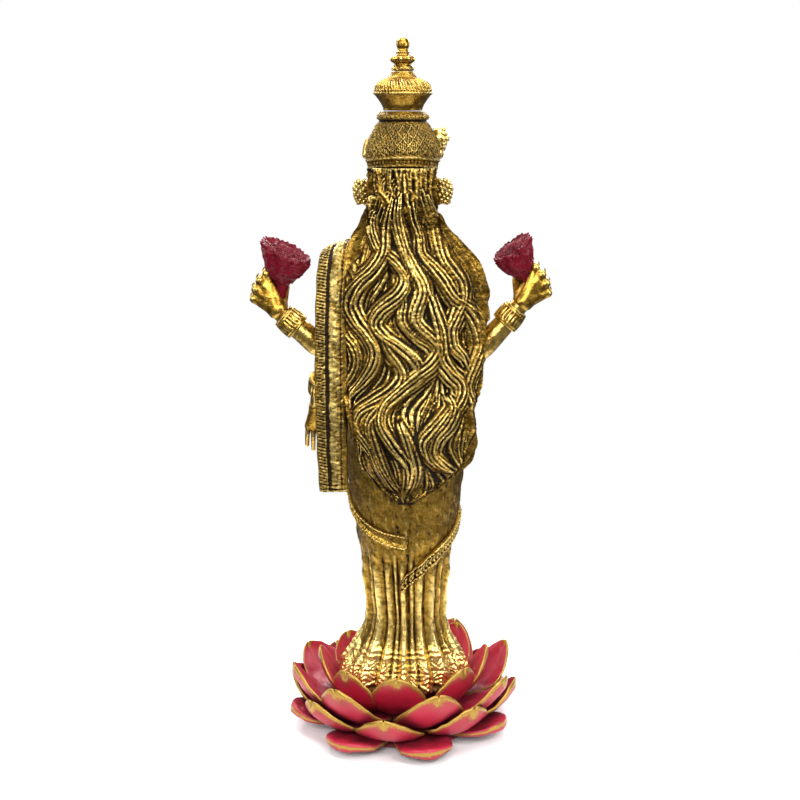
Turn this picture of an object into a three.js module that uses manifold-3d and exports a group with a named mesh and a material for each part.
// A standing four-armed temple figure on an open lotus, cast in resin and painted.
//
// Millimetres, +Z up. The origin is the centre of the flat underside of the lotus base.
// The figure faces -Y, so its own left hand is on the +X side.

import * as THREE from 'three';
import { LoftGeometry } from 'three/addons/geometries/LoftGeometry.js';
import { mergeVertices } from 'three/addons/utils/BufferGeometryUtils.js';
import Module from 'manifold-3d';

const wasm = await Module();
wasm.setup();

// ---------------------------------------------------------------- driving dimensions

// Overall sizes
const FIGURE_HEIGHT = 283; // hem to the tip of the crown
const LOTUS_RADIUS = 54; // centre to the tips of the lowest petals
const STAND_HEIGHT = 22; // underside of the base to the hem

// Lotus
const PETALS_IN_ROW = 8;
const PETAL_THICKNESS = 2.2;
const PETAL_CUP = 2.2; // how far a petal's long edges rise above its middle
const HEM_TO_HUB = 9; // how far the hub stays inside the widest point of the hem
const HEM_TO_TOP_TIPS = 11; // how far the top petals reach past the hem
const FOOT_DISC_RADIUS = 34;
const HUB_HEIGHT = 14.3;

// Fits
const SEAM = 0.3; // gap between bonded faces
const PIN_CLEARANCE = 0.3; // gap all round a steel pin in its bore
const DOWEL_DIAMETER = 4;
const DOWEL_SPACING = 18;
const DOWEL_DEPTH = 6; // how far a dowel goes into the hub
const DOWEL_RISE = 12; // how far it goes into the skirt
const ARM_PIN_DIAMETER = 3;

// Ornaments
const BAND_THICKNESS = 1.6;
const BAND_WIDTH = 9;
const BELT_HEIGHT = 8;
const SASH_THICKNESS = 1.8;
const NECKLACE_THICKNESS = 2.6;

// ---------------------------------------------------------------- the figure's sections

// The lists below are written for a figure of DESIGN_HEIGHT and grow with FIGURE_HEIGHT.
// Heights are above the hem.
const DESIGN_HEIGHT = 283;
const GROWTH = FIGURE_HEIGHT / DESIGN_HEIGHT;
const WAIST_HEIGHT = 143; // where the torso stands on the skirt
const BROW_HEIGHT = 227.7; // where the crown sits on the head

// [height, x, y, half width, half depth]
const SKIRT = [
  [0, 0, 0, 29, 23.5],
  [6, -0.5, 0, 28.5, 22.5],
  [13, -0.8, 0, 24, 20],
  [20, -1, 0, 20, 17],
  [28, -1.3, 0, 18, 15.5],
  [43, -1.2, 0, 18.6, 15],
  [58, -1.2, 0, 20, 15.5],
  [73, -1.5, 0, 22.6, 17],
  [86, -1.2, 0, 24.8, 18],
  [103, -1, 0, 26, 19],
  [120, -0.5, 0, 25, 19],
  [133, 0, 0, 20, 15.5],
  [WAIST_HEIGHT, 0, 0, 17, 13],
];
const TORSO = [
  [WAIST_HEIGHT + SEAM / GROWTH, 0, 0, 16.5, 12.5],
  [150, 0, 0, 16, 12],
  [160, 0, 0, 18.5, 14],
  [171, 0, -2, 21, 16],
  [181, 0, 0, 22, 14],
  [189, 0, 0, 25, 12],
  [194, 0, 0, 22, 10],
  [198, 0, 0.5, 11, 8.5],
  [201, 0, 1, 8, 7.5],
  [207, 0, 1, 7.5, 7.2],
];
const HEAD = [
  [205.6, 0, -8, 3.5, 3.5],
  [207.3, 0, -5.2, 7, 7.5],
  [210, 0, -3, 9.6, 11.5],
  [214, 0, -1.5, 11.6, 14],
  [219, 0, -0.5, 12.8, 15],
  [224, 0, 0, 13, 15.5],
  [BROW_HEIGHT, 0, 0, 13, 15.5],
];

// [x, y, height, half width, half depth] along each limb, from the shoulder outwards
const REAR_ARM_LEFT = [
  [19, 4, 193, 5, 5],
  [27, 5, 182, 5.5, 5.5],
  [32, 5, 167, 5, 5],
  [35, 4.5, 153, 5.2, 5.2],
  [43, 4, 158.5, 5, 5],
  [51, 4, 165.5, 4.2, 4.2],
  [56, 4, 172, 6, 4],
];
const REAR_ARM_RIGHT = [
  [-19, 4, 193, 5, 5],
  [-26, 5, 182, 5.5, 5.5],
  [-30, 5, 167, 5, 5],
  [-32, 4.5, 150, 5.2, 5.2],
  [-41, 4, 159, 5, 5],
  [-49, 4, 168.5, 4.2, 4.2],
  [-54, 4, 175.5, 6, 4],
];
const FRONT_ARM_LEFT = [
  [20, -3, 193, 5, 5],
  [28, -5, 181, 5.6, 5.6],
  [31, -6, 163, 5.2, 5.2],
  [33, -8, 146, 5, 5],
  [36.5, -14, 133, 4.4, 4.4],
  [38.5, -19, 125, 3.6, 3.6],
  [39.5, -21, 119, 3.4, 5.2],
];
const FRONT_ARM_RIGHT = [
  [-20, -3, 193, 5, 5],
  [-28.5, -5, 181, 5.6, 5.6],
  [-32, -6, 163, 5.2, 5.2],
  [-32.5, -9, 145, 5.2, 5.2],
  [-31, -18, 150, 4.6, 4.6],
  [-29.5, -25, 158, 3.6, 3.6],
  [-29, -26, 164, 5.4, 3.2],
];

const PALLU = [
  [-11, -18, 145, 5, 1.4],
  [-4, -19.5, 158, 6, 1.4],
  [8, -21, 172, 7, 1.4],
  [20, -15, 186, 7, 1.4],
  [26, -4, 195.5, 7, 1.4],
  [29, 8, 191, 7, 1.6],
  [30, 14, 178, 7, 1.8],
  [30.5, 17.5, 158, 7, 2],
  [30.5, 20, 132, 7, 2],
  [30.3, 21, 110, 6.6, 2],
  [29.8, 21, 92, 6.2, 2],
];

const HAIR = [
  [0, 12, 227.5, 13, 5],
  [0, 12.5, 218, 13.5, 5.5],
  [0, 10.5, 203, 14, 5.5],
  [-1, 11.5, 193, 20, 6],
  [-2, 13.5, 178, 26, 6.5],
  [-3, 14.5, 160, 29, 6.5],
  [-3, 15.5, 140, 30, 6],
  [-3, 19.5, 120, 27, 6],
  [-3, 19.5, 104, 23, 5.5],
  [-3, 18, 93, 15, 4],
  [-2, 17, 84, 5, 2.5],
];

// ---------------------------------------------------------------- shapes

function place(x, y, height) {
  return new THREE.Vector3(x * GROWTH, y * GROWTH, STAND_HEIGHT + height * GROWTH);
}

// A rounded outline about a centre. A power above 2 squares its corners.
function outline(centre, across, away, halfWidth, halfDepth, { sides = 12, power = 2 } = {}) {
  const points = [];
  for (let i = 0; i < sides; i += 1) {
    const angle = (2 * Math.PI * i) / sides;
    const reach = (value) => Math.sign(value) * Math.abs(value) ** (2 / power);
    points.push(
      centre
        .clone()
        .addScaledVector(across, reach(Math.cos(angle)) * halfWidth)
        .addScaledVector(away, reach(Math.sin(angle)) * halfDepth),
    );
  }
  return points;
}

function skin(rings) {
  return new LoftGeometry(rings, { capStart: true, capEnd: true });
}

// Level sections one above the other.
function stack(levels, options = {}) {
  const across = new THREE.Vector3(1, 0, 0);
  const away = new THREE.Vector3(0, 1, 0);
  return skin(
    levels.map(([height, x, y, halfWidth, halfDepth]) => {
      const centre = place(x, y, height);
      return outline(centre, across, away, halfWidth * GROWTH, halfDepth * GROWTH, options);
    }),
  );
}

// Sections strung along a smooth path. Their broad side looks towards "facing".
function along(stations, { facing = [0, 1, 0], steps = 3, ...options } = {}) {
  const path = new THREE.CatmullRomCurve3(stations.map(([x, y, h]) => place(x, y, h)));
  const spans = stations.length - 1;
  const rings = [];
  for (let i = 0; i <= spans * steps; i += 1) {
    const span = Math.min(Math.floor(i / steps), spans - 1);
    const part = i / steps - span;
    const size = (column) =>
      THREE.MathUtils.lerp(stations[span][column], stations[span + 1][column], part) * GROWTH;
    const tangent = path.getTangent(i / (spans * steps));
    const away = new THREE.Vector3(...facing);
    away.addScaledVector(tangent, -away.dot(tangent)).normalize();
    const across = new THREE.Vector3().crossVectors(away, tangent);
    const centre = path.getPoint(i / (spans * steps));
    rings.push(outline(centre, across, away, size(3), size(4), options));
  }
  return skin(rings);
}

// A solid of revolution from [radius, height] points, both measured in millimetres.
function turned(profile, sides = 20) {
  const points = profile.map(([radius, height]) => new THREE.Vector2(radius, height));
  return new THREE.LatheGeometry(points, sides).rotateX(Math.PI / 2);
}

// A plain round rod between two points.
function rod(from, to, diameter, sides = 16) {
  const length = from.distanceTo(to);
  const geometry = new THREE.CylinderGeometry(diameter / 2, diameter / 2, length, sides);
  const turn = new THREE.Quaternion().setFromUnitVectors(
    new THREE.Vector3(0, 1, 0),
    to.clone().sub(from).normalize(),
  );
  const middle = from.clone().add(to).multiplyScalar(0.5);
  return geometry.applyQuaternion(turn).translate(middle.x, middle.y, middle.z);
}

// ---------------------------------------------------------------- solids

// Leaves out the triangles that close up to a line on a turned shape's axis.
function wholeTriangles(index) {
  const kept = [];
  for (let i = 0; i < index.length; i += 3) {
    const [a, b, c] = index.slice(i, i + 3);
    if (a !== b && b !== c && c !== a) {
      kept.push(a, b, c);
    }
  }
  return new Uint32Array(kept);
}

// One solid from one or more closed skins, each first pushed outwards by "grow".
function solid(shapes, grow = 0) {
  const parts = [shapes].flat().map((shape) => {
    const bare = new THREE.BufferGeometry().copy(shape);
    bare.deleteAttribute('normal');
    bare.deleteAttribute('uv');
    const merged = mergeVertices(bare, 1e-3);
    merged.computeVertexNormals();
    const { position, normal } = merged.attributes;
    const vertProperties = new Float32Array(position.array);
    for (let i = 0; i < vertProperties.length; i += 1) {
      vertProperties[i] += normal.array[i] * grow;
    }
    const triVerts = wholeTriangles(merged.index.array);
    return new wasm.Manifold(new wasm.Mesh({ numProp: 3, vertProperties, triVerts }));
  });
  return parts.reduce((whole, part) => whole.add(part));
}

function cut(body, ...tools) {
  return tools.reduce((rest, tool) => rest.subtract(tool), body);
}

function largest(body) {
  const parts = body.decompose();
  return parts.reduce((best, part) => (part.volume() > best.volume() ? part : best));
}

const GOLD = { color: 0xa8842f, roughness: 0.38, metalness: 0.85 };
const PINK = { color: 0xc22a4a, roughness: 0.3, metalness: 0 };
const CRIMSON = { color: 0xa02840, roughness: 0.4, metalness: 0 };
const STEEL = { color: 0x8c9094, roughness: 0.35, metalness: 1 };

const statue = new THREE.Group();

function addPiece(name, body, finish) {
  const mesh = largest(body).getMesh();
  const geometry = new THREE.BufferGeometry();
  geometry.setAttribute('position', new THREE.BufferAttribute(mesh.vertProperties, 3));
  geometry.setIndex(new THREE.BufferAttribute(mesh.triVerts, 1));
  geometry.computeVertexNormals();
  const piece = new THREE.Mesh(geometry, new THREE.MeshStandardMaterial(finish));
  piece.name = name;
  statue.add(piece);
}

// ---------------------------------------------------------------- lotus

const HEM_HALF_WIDTH = SKIRT[0][3] * GROWTH;
const HUB_RADIUS = HEM_HALF_WIDTH - HEM_TO_HUB;

// Each row's petals leave the hub at "root" and end at "tip", both heights in millimetres.
const PETAL_ROWS = [
  { name: 'low', reach: LOTUS_RADIUS - 2, root: 6.5, tip: 17.5, curl: 2, turn: -8 },
  { name: 'high', reach: LOTUS_RADIUS - 1, root: 10, tip: 28, curl: 1.8, turn: 15 },
  { name: 'top', reach: HEM_HALF_WIDTH + HEM_TO_TOP_TIPS, root: 13.2, tip: 32, curl: 1.7, turn: 0 },
];
const BOTTOM_ROW = { reach: LOTUS_RADIUS, root: 2.6, tip: 7, curl: 1.4, turn: 16.3 };

// A pointed, cupped petal that runs from the hub out to its tip. Turns are in degrees
// about +Z, measured counterclockwise from the back of the lotus as seen from above.
function petal({ reach, root, tip, curl, turn }, start, index) {
  const rings = [];
  const stations = 5;
  const direction = THREE.MathUtils.degToRad(turn + (360 / PETALS_IN_ROW) * index);
  const outwards = new THREE.Vector3(-Math.sin(direction), Math.cos(direction), 0);
  const sideways = new THREE.Vector3(outwards.y, -outwards.x, 0);
  const widest = 0.355 * (start + 0.6 * (reach - start));
  for (let i = 0; i <= stations; i += 1) {
    const t = i / stations;
    const radius = start + (reach - start) * t;
    const fullness = Math.sin(Math.PI * (0.17 + 0.8 * t ** 0.95)) ** 0.8;
    const halfWidth = Math.min(widest * fullness, 0.36 * radius);
    const middle = root + (tip - root) * t ** curl;
    const thickness = PETAL_THICKNESS * (1 - 0.45 * t);
    const points = [];
    for (const [side, face] of PETAL_SECTION) {
      const rise = PETAL_CUP * side * side * Math.min(1, 2.5 * t * (1.25 - t));
      points.push(
        outwards
          .clone()
          .multiplyScalar(radius)
          .addScaledVector(sideways, side * halfWidth)
          .setZ(middle + rise + (face * thickness) / 2),
      );
    }
    rings.push(points);
  }
  return skin(rings);
}

// [across, up] on a petal's section, as shares of its half width and half thickness
const PETAL_SECTION = [
  [0.55, -0.85],
  [-0.55, -0.85],
  [-1, -0.45],
  [-1, 0.45],
  [-0.55, 0.8],
  [0, 1],
  [0.55, 0.8],
  [1, 0.45],
  [1, -0.45],
];

function lotusHub() {
  return turned([
    [0, 0],
    [FOOT_DISC_RADIUS, 0],
    [FOOT_DISC_RADIUS, 1.2],
    [HUB_RADIUS + 2, 4.4],
    [HUB_RADIUS + 1, 5],
    [HUB_RADIUS, HUB_HEIGHT],
    [0, HUB_HEIGHT],
  ]);
}

function dowelRods(grow = 0) {
  return [-1, 1].map((side) => {
    const x = (side * DOWEL_SPACING) / 2;
    const low = HUB_HEIGHT - DOWEL_DEPTH - grow;
    const high = STAND_HEIGHT + DOWEL_RISE + grow;
    return rod(
      new THREE.Vector3(x, 0, low),
      new THREE.Vector3(x, 0, high),
      DOWEL_DIAMETER + 2 * grow,
      12,
    );
  });
}

const dowelBores = solid(dowelRods(PIN_CLEARANCE));

function addLotus() {
  const bottomPetals = [];
  for (let i = 0; i < PETALS_IN_ROW; i += 1) {
    bottomPetals.push(petal(BOTTOM_ROW, HUB_RADIUS, i));
  }
  addPiece('lotus_base', cut(solid([lotusHub(), ...bottomPetals]), dowelBores), PINK);

  const seat = turned([
    [0, HUB_HEIGHT + SEAM],
    [HUB_RADIUS - 1.5, HUB_HEIGHT + SEAM],
    [HUB_RADIUS + 4, STAND_HEIGHT - 1],
    [HUB_RADIUS + 4, STAND_HEIGHT - SEAM],
    [0, STAND_HEIGHT - SEAM],
  ]);
  addPiece('lotus_seat', cut(solid(seat), dowelBores), CRIMSON);

  for (const row of PETAL_ROWS) {
    for (let i = 0; i < PETALS_IN_ROW; i += 1) {
      const body = solid(petal(row, HUB_RADIUS + 1 + SEAM, i));
      addPiece(`petal_${row.name}_${i + 1}`, body, PINK);
    }
  }
  dowelRods().forEach((dowel, i) => addPiece(`base_dowel_${i + 1}`, solid(dowel), STEEL));
}

// ---------------------------------------------------------------- hands

// One finger from its knuckle through each joint to its tip, all [x, y, height].
function finger(joints, thickness) {
  const last = joints.length - 1;
  return along(
    joints.map((joint, i) => {
      const half = (thickness / 2) * (i === last ? 0.5 : 1);
      return [...joint, half, half];
    }),
    { steps: 1, sides: 6, facing: [0.3, 1, 0.2] },
  );
}

// A raised fist round a flower stalk. side is +1 for the figure's left.
function gripFingers(side, [x, y, height]) {
  const fingers = [];
  for (let i = 0; i < 4; i += 1) {
    const up = height - 3.4 + 2.9 * i;
    const out = x + side * (3.6 - 0.55 * i);
    fingers.push(
      finger(
        [
          [out + side * 2.6, y + 2.6, up],
          [out + side * 1.6, y - 3.6, up + 0.6],
          [out - side * 3.4, y - 4.6, up + 0.8],
          [out - side * 4.6, y - 1, up + 0.4],
        ],
        3.3,
      ),
    );
  }
  fingers.push(
    finger(
      [
        [x - side * 3, y + 2.6, height - 3],
        [x - side * 5.2, y + 0.6, height + 1],
        [x - side * 4.4, y - 2.2, height + 4.4],
      ],
      3.6,
    ),
  );
  return fingers;
}

// An open hand with its fingers together, running along "up" (+1 raised, -1 lowered).
function openFingers(side, [x, y, height], up, lean) {
  const lengths = [10.5, 12, 11.2, 9];
  const fingers = lengths.map((length, i) => {
    const across = side * (i - 1.5) * 2.45;
    return finger(
      [
        [x + across, y, height],
        [x + across, y + lean * 0.5, height + up * length * 0.5],
        [x + across, y + lean, height + up * length],
      ],
      2.5,
    );
  });
  fingers.push(
    finger(
      [
        [x - side * 3.6, y - 1, height - up * 6],
        [x - side * 6.2, y - 2, height - up * 2],
        [x - side * 6.6, y - 2.4, height + up * 3],
      ],
      2.9,
    ),
  );
  return fingers;
}

const REAR_HAND_LEFT = [57.3, 4, 176.5];
const REAR_HAND_RIGHT = [-55.5, 4, 180];
const RAISED_PALM = [-29, -26, 166];
const LOWERED_PALM = [39.8, -21.4, 116];

function palm([x, y, height], halfWidth, halfDepth, halfHeight) {
  const shares = [
    [-1, 0.55],
    [-0.5, 0.95],
    [0.2, 1],
    [0.8, 0.85],
    [1, 0.6],
  ];
  return stack(
    shares.map(([up, size]) => [height + up * halfHeight, x, y, halfWidth * size, halfDepth * size]),
    { sides: 8 },
  );
}

// ---------------------------------------------------------------- held flowers

// [rim centre, base centre] of each half-open bud, [x, y, height]
const FLOWER_LEFT = { base: [51.5, 4, 181], rim: [51.3, 4, 194.5], halfWidth: 10 };
const FLOWER_RIGHT = { base: [-51, 4, 183.5], rim: [-46.5, 4, 196], halfWidth: 8.6 };

function flower({ base, rim, halfWidth }) {
  const step = (share) => base.map((value, axis) => value + (rim[axis] - value) * share);
  return along(
    [
      [...step(-0.25), 2.4, 2.4],
      [...step(0.1), halfWidth * 0.62, halfWidth * 0.55],
      [...step(0.5), halfWidth * 0.95, halfWidth * 0.8],
      [...step(0.85), halfWidth, halfWidth * 0.86],
      [...step(1), halfWidth * 0.72, halfWidth * 0.6],
    ],
    { steps: 1, sides: 12 },
  );
}

function stalk({ base, rim }, grow = 0) {
  const from = place(...base);
  const to = place(...rim);
  const down = from.clone().sub(to).normalize();
  return rod(from.clone().addScaledVector(down, 9 * GROWTH), to, 3.2 + 2 * grow, 10);
}

// ---------------------------------------------------------------- ornaments

// A band round one stretch of a limb, standing BAND_THICKNESS proud of it.
function band(stations, span, part, grow = 0) {
  const here = stations[span];
  const next = stations[span + 1];
  const middle = here.map((value, i) => value + (next[i] - value) * part);
  const length = place(...here.slice(0, 3)).distanceTo(place(...next.slice(0, 3)));
  const ends = [-1, 1].map((end) => {
    const shift = (end * BAND_WIDTH) / 2 / length;
    return middle.map((value, i) => (i < 3 ? value + (next[i] - here[i]) * shift : value));
  });
  const rings = [ends[0], middle, ends[1]];
  const tube = along(rings, { steps: 1, sides: 12, facing: [0.3, 1, 0.2] });
  return solid(tube, BAND_THICKNESS + grow);
}

// All that lies within the belt's height and its reach of the body.
function beltZone(bodySkins, grow = 0) {
  const middle = place(0, 0, WAIST_HEIGHT);
  const reach = 4 * HEM_HALF_WIDTH;
  const slab = new THREE.BoxGeometry(reach, reach, BELT_HEIGHT + 2 * grow);
  slab.translate(middle.x, middle.y, middle.z);
  return solid(bodySkins, BAND_THICKNESS + SEAM + grow).intersect(solid(slab));
}

// A point on the level sections, at an angle from the back turning to the figure's
// right, "out" beyond the surface.
function onSurface(levels, angle, height, out) {
  let above = levels.findIndex((level) => level[0] > height);
  above = above < 1 ? levels.length - 1 : above;
  const low = levels[above - 1];
  const high = levels[above];
  const part = (height - low[0]) / (high[0] - low[0]);
  const [, x, y, halfWidth, halfDepth] = low.map((value, i) => value + (high[i] - value) * part);
  const turn = THREE.MathUtils.degToRad(angle);
  return [x - Math.sin(turn) * (halfWidth + out), y + Math.cos(turn) * (halfDepth + out), height];
}

// A strip that follows level sections between two angles. "heightAt" and "halfAt" give its
// middle height and half height at a share of the way round.
function wrappedStrip(levels, from, to, heightAt, halfAt, thickness, steps = 10) {
  const rings = [];
  for (let i = 0; i <= steps; i += 1) {
    const share = i / steps;
    const angle = from + (to - from) * share;
    const points = STRIP_CORNERS.map(([out, up]) => {
      const height = heightAt(share) + up * halfAt(share);
      return place(...onSurface(levels, angle, height, (out * thickness) / GROWTH));
    });
    rings.push(points);
  }
  return skin(rings);
}

// [out, up] shares of a strip's thickness and half height. The inner side is sunk below
// the surface, and is trimmed off by the piece that the strip lies on.
const STRIP_CORNERS = [
  [-0.6, 1],
  [1, 0.8],
  [1, -0.8],
  [-0.6, -1],
];

// A cord that lies on the torso through [angle, height] points.
function cordOnTorso(route) {
  const half = NECKLACE_THICKNESS / 2 / GROWTH;
  return along(
    route.map(([angle, height]) => [...onSurface(TORSO, angle, height, 0.4), half, half]),
    { steps: 2, sides: 6, facing: [0.2, 0.4, 1] },
  );
}

// ---------------------------------------------------------------- crown

// [radius, height] outlines, in the figure's own measures
const DOME = [
  [0, 0.3],
  [14.4, 0.3],
  [15, 1.8],
  [14.7, 3],
  [15.8, 6],
  [15.5, 8.8],
  [14.6, 12.8],
  [13, 16.3],
  [10.7, 20],
  [11, 21.6],
  [10.4, 23.2],
  [9, 24.9],
  [0, 24.9],
].map(([radius, up]) => [radius, BROW_HEIGHT + up]);
const DOME_TOP = DOME.at(-1)[1];
const DISC = [
  [0, 0],
  [8.6, 0],
  [9.2, 1.4],
  [10.6, 4],
  [12.1, 6.3],
  [12.1, 7.6],
  [10.8, 10],
  [8, 12.4],
  [5.4, 14.4],
  [4.2, 16.2],
  [0, 16.2],
].map(([radius, up]) => [radius, DOME_TOP + SEAM / GROWTH + up]);
const DISC_TOP = DISC.at(-1)[1];
const FINIAL_HEIGHT = DESIGN_HEIGHT - DISC_TOP - SEAM / GROWTH;
const FINIAL = [
  [0, 0],
  [4.2, 0],
  [5.1, 0.26],
  [5.1, 0.4],
  [3.6, 0.51],
  [1.9, 0.57],
  [1.9, 0.61],
  [2.8, 0.72],
  [2.8, 0.86],
  [1.6, 0.97],
  [0, 1],
].map(([radius, share]) => [radius, DISC_TOP + SEAM / GROWTH + share * FINIAL_HEIGHT]);

function turnedOnFigure(profile, sides) {
  return turned(profile.map(([r, h]) => [r * GROWTH, STAND_HEIGHT + h * GROWTH]), sides);
}

// The dome again as level sections, for what wraps round it.
const DOME_LEVELS = DOME.slice(1, -1).map(([radius, height]) => [height, 0, 0, radius, radius]);

const CREST_HEIGHT = 9; // middle of the crest above the brow
const CREST_THICKNESS = 2.6;
const ROSETTE_DIAMETER = 10;

function crest() {
  const plate = wrappedStrip(
    DOME_LEVELS,
    92,
    268,
    (share) => BROW_HEIGHT + CREST_HEIGHT + 1.5 * Math.sin(Math.PI * share),
    (share) => 4.5 + 4 * Math.sin(Math.PI * share) ** 3,
    CREST_THICKNESS,
    16,
  );
  const height = BROW_HEIGHT + CREST_HEIGHT + 4.5;
  const boss = rod(place(-13.5, -3, height), place(-19, -3, height), ROSETTE_DIAMETER * GROWTH, 12);
  return [plate, boss];
}

// ---------------------------------------------------------------- figure

function foot(side) {
  return along(
    [
      [side * 8, -8, 3, 4.4, 3],
      [side * 8.4, -14, 2.9, 4.6, 2.9],
      [side * 8.8, -21, 2, 4.7, 2],
      [side * 9, -26, 1.3, 3.4, 1.3],
    ],
    { steps: 2, sides: 10, facing: [0, 0, 1], power: 2.6 },
  );
}

function armPin(side, grow = 0) {
  const inner = place(side * 12, 3, 190);
  const outer = place(side * 27, 4.6, 178.5);
  const reach = outer.clone().sub(inner).normalize().multiplyScalar(grow);
  return rod(inner.sub(reach), outer.add(reach), ARM_PIN_DIAMETER + 2 * grow, 12);
}

function earOrnament(side) {
  return stack(
    [
      [213, side * 16, 0, 2, 3],
      [215.5, side * 16.4, 0, 3.6, 4.6],
      [219.5, side * 16.6, 0, 4, 5],
      [224, side * 16.2, 0, 3.6, 4.6],
      [226.6, side * 15.6, 0, 2, 3],
    ],
    { sides: 10 },
  );
}

function addFigure() {
  const skirtSkin = stack(SKIRT, { sides: 20 });
  const torsoSkin = stack(TORSO, { sides: 20 });
  const headSkin = stack(HEAD, { sides: 16 });
  const core = solid([skirtSkin, torsoSkin, headSkin], SEAM);
  const feet = [1, -1].map((side) => foot(side));
  const pins = [1, -1].map((side) => armPin(side));
  const pinBores = solid([1, -1].map((side) => armPin(side, PIN_CLEARANCE)));

  addPiece('skirt', cut(solid(skirtSkin), dowelBores, solid(feet, SEAM)), GOLD);
  addPiece('torso', cut(solid(torsoSkin), pinBores), GOLD);
  addPiece('head', cut(solid(headSkin), solid(torsoSkin, SEAM)), GOLD);
  ['left_foot', 'right_foot'].forEach((name, i) => addPiece(name, solid(feet[i]), GOLD));
  ['left_arm_pin', 'right_arm_pin'].forEach((name, i) => addPiece(name, solid(pins[i]), STEEL));

  // Arms: the front pair is cut by the body, the rear pair by the front pair as well.
  const round = { sides: 8, steps: 2 };
  const frontSkins = {
    left: [
      along(FRONT_ARM_LEFT, { ...round, facing: [1, 0.3, 0] }),
      palm(LOWERED_PALM, 5, 3, 6),
      ...openFingers(1, [39.8, -21.6, 111.5], -1, 0.8),
    ],
    right: [
      along(FRONT_ARM_RIGHT, { ...round, facing: [1, 0.2, 0] }),
      palm(RAISED_PALM, 5.2, 3, 6),
      ...openFingers(-1, [-29, -26, 170.5], 1, -0.6),
    ],
  };
  const rearSkins = {
    left: [along(REAR_ARM_LEFT, round), palm(REAR_HAND_LEFT, 6.6, 4.2, 6.6)],
    right: [along(REAR_ARM_RIGHT, round), palm(REAR_HAND_RIGHT, 6.6, 4.2, 6.6)],
  };
  rearSkins.left.push(...gripFingers(1, REAR_HAND_LEFT));
  rearSkins.right.push(...gripFingers(-1, REAR_HAND_RIGHT));
  const flowers = { left: FLOWER_LEFT, right: FLOWER_RIGHT };
  const frontArms = solid([...frontSkins.left, ...frontSkins.right], SEAM);
  const rearArms = solid([...rearSkins.left, ...rearSkins.right], SEAM);

  for (const side of ['left', 'right']) {
    const stem = solid(stalk(flowers[side], PIN_CLEARANCE));
    addPiece(`${side}_front_arm`, cut(solid(frontSkins[side]), core), GOLD);
    const rear = cut(solid(rearSkins[side]), core, frontArms, stem, pinBores);
    addPiece(`${side}_rear_arm`, rear, GOLD);
    const bud = solid([flower(flowers[side]), stalk(flowers[side])]);
    const hand = cut(solid(rearSkins[side], SEAM), stem);
    addPiece(`${side}_flower`, cut(bud, hand), CRIMSON);
  }

  // Bands round the arms.
  const bandPlaces = {
    left_front_bangle: [FRONT_ARM_LEFT, 4, 0.2],
    right_front_bangle: [FRONT_ARM_RIGHT, 4, 0.3],
    left_rear_bangle: [REAR_ARM_LEFT, 4, 0.7],
    right_rear_bangle: [REAR_ARM_RIGHT, 4, 0.7],
    left_armlet: [FRONT_ARM_LEFT, 1, 0.85],
    right_armlet: [FRONT_ARM_RIGHT, 1, 0.85],
  };
  for (const [name, spot] of Object.entries(bandPlaces)) {
    addPiece(name, cut(band(...spot), core, frontArms, rearArms), GOLD);
  }
  const bandsClear = Object.values(bandPlaces)
    .map((spot) => band(...spot, SEAM))
    .reduce((whole, part) => whole.add(part));

  // Belt, sashes and cords.
  const belt = cut(beltZone([skirtSkin, torsoSkin]), core, frontArms, rearArms, bandsClear);
  const beltClear = beltZone([skirtSkin, torsoSkin], SEAM);
  addPiece('waist_belt', belt, GOLD);

  const hipSash = {
    left: wrappedStrip(
      SKIRT,
      -100,
      2,
      (share) => 82 - 22 * Math.sin((Math.PI / 2) * share),
      () => 3.4,
      SASH_THICKNESS,
    ),
    right: wrappedStrip(
      SKIRT,
      -8,
      100,
      (share) => 42 + 38 * share ** 0.85,
      () => 3.2,
      SASH_THICKNESS,
    ),
  };
  for (const side of ['left', 'right']) {
    addPiece(`hip_sash_${side}`, cut(solid(hipSash[side]), core, frontArms), GOLD);
  }
  const sashes = solid(Object.values(hipSash), SEAM);

  const pallu = cut(solid(along(PALLU, { sides: 8, power: 4, steps: 2 })), core, frontArms, rearArms);
  const palluFree = cut(pallu, bandsClear, beltClear, sashes);
  addPiece('pallu', palluFree, GOLD);
  const palluClear = solid(along(PALLU, { sides: 8, power: 4, steps: 2 }), SEAM);

  const necklace = solid(
    cordOnTorso([
      [100, 200],
      [130, 197.6],
      [155, 194.6],
      [180, 191.5],
      [205, 194.6],
      [230, 197.6],
      [260, 200],
    ]),
  );
  addPiece('necklace', cut(necklace, core, palluClear), GOLD);

  // Crown, then the ear ornaments and the hair that falls behind everything.
  const domeSkin = turnedOnFigure(DOME);
  addPiece('crown_dome', solid(domeSkin), GOLD);
  addPiece('crown_crest', cut(solid(crest()), solid(domeSkin, SEAM)), GOLD);
  addPiece('crown_disc', solid(turnedOnFigure(DISC)), GOLD);
  addPiece('crown_finial', solid(turnedOnFigure(FINIAL, 12)), GOLD);

  const crownClear = solid([domeSkin, ...crest()], SEAM);
  const ears = { left: earOrnament(1), right: earOrnament(-1) };
  for (const side of ['left', 'right']) {
    addPiece(`ear_ornament_${side}`, cut(solid(ears[side]), core, crownClear), GOLD);
  }
  const earsClear = solid(Object.values(ears), SEAM);
  const hair = cut(
    solid(along(HAIR, { sides: 16, power: 2.4, steps: 1 })),
    core,
    crownClear,
    earsClear,
    frontArms,
    rearArms,
    palluClear,
    bandsClear,
    beltClear,
    sashes,
  );
  addPiece('hair', hair, GOLD);
}

addLotus();
addFigure();

export default statue;
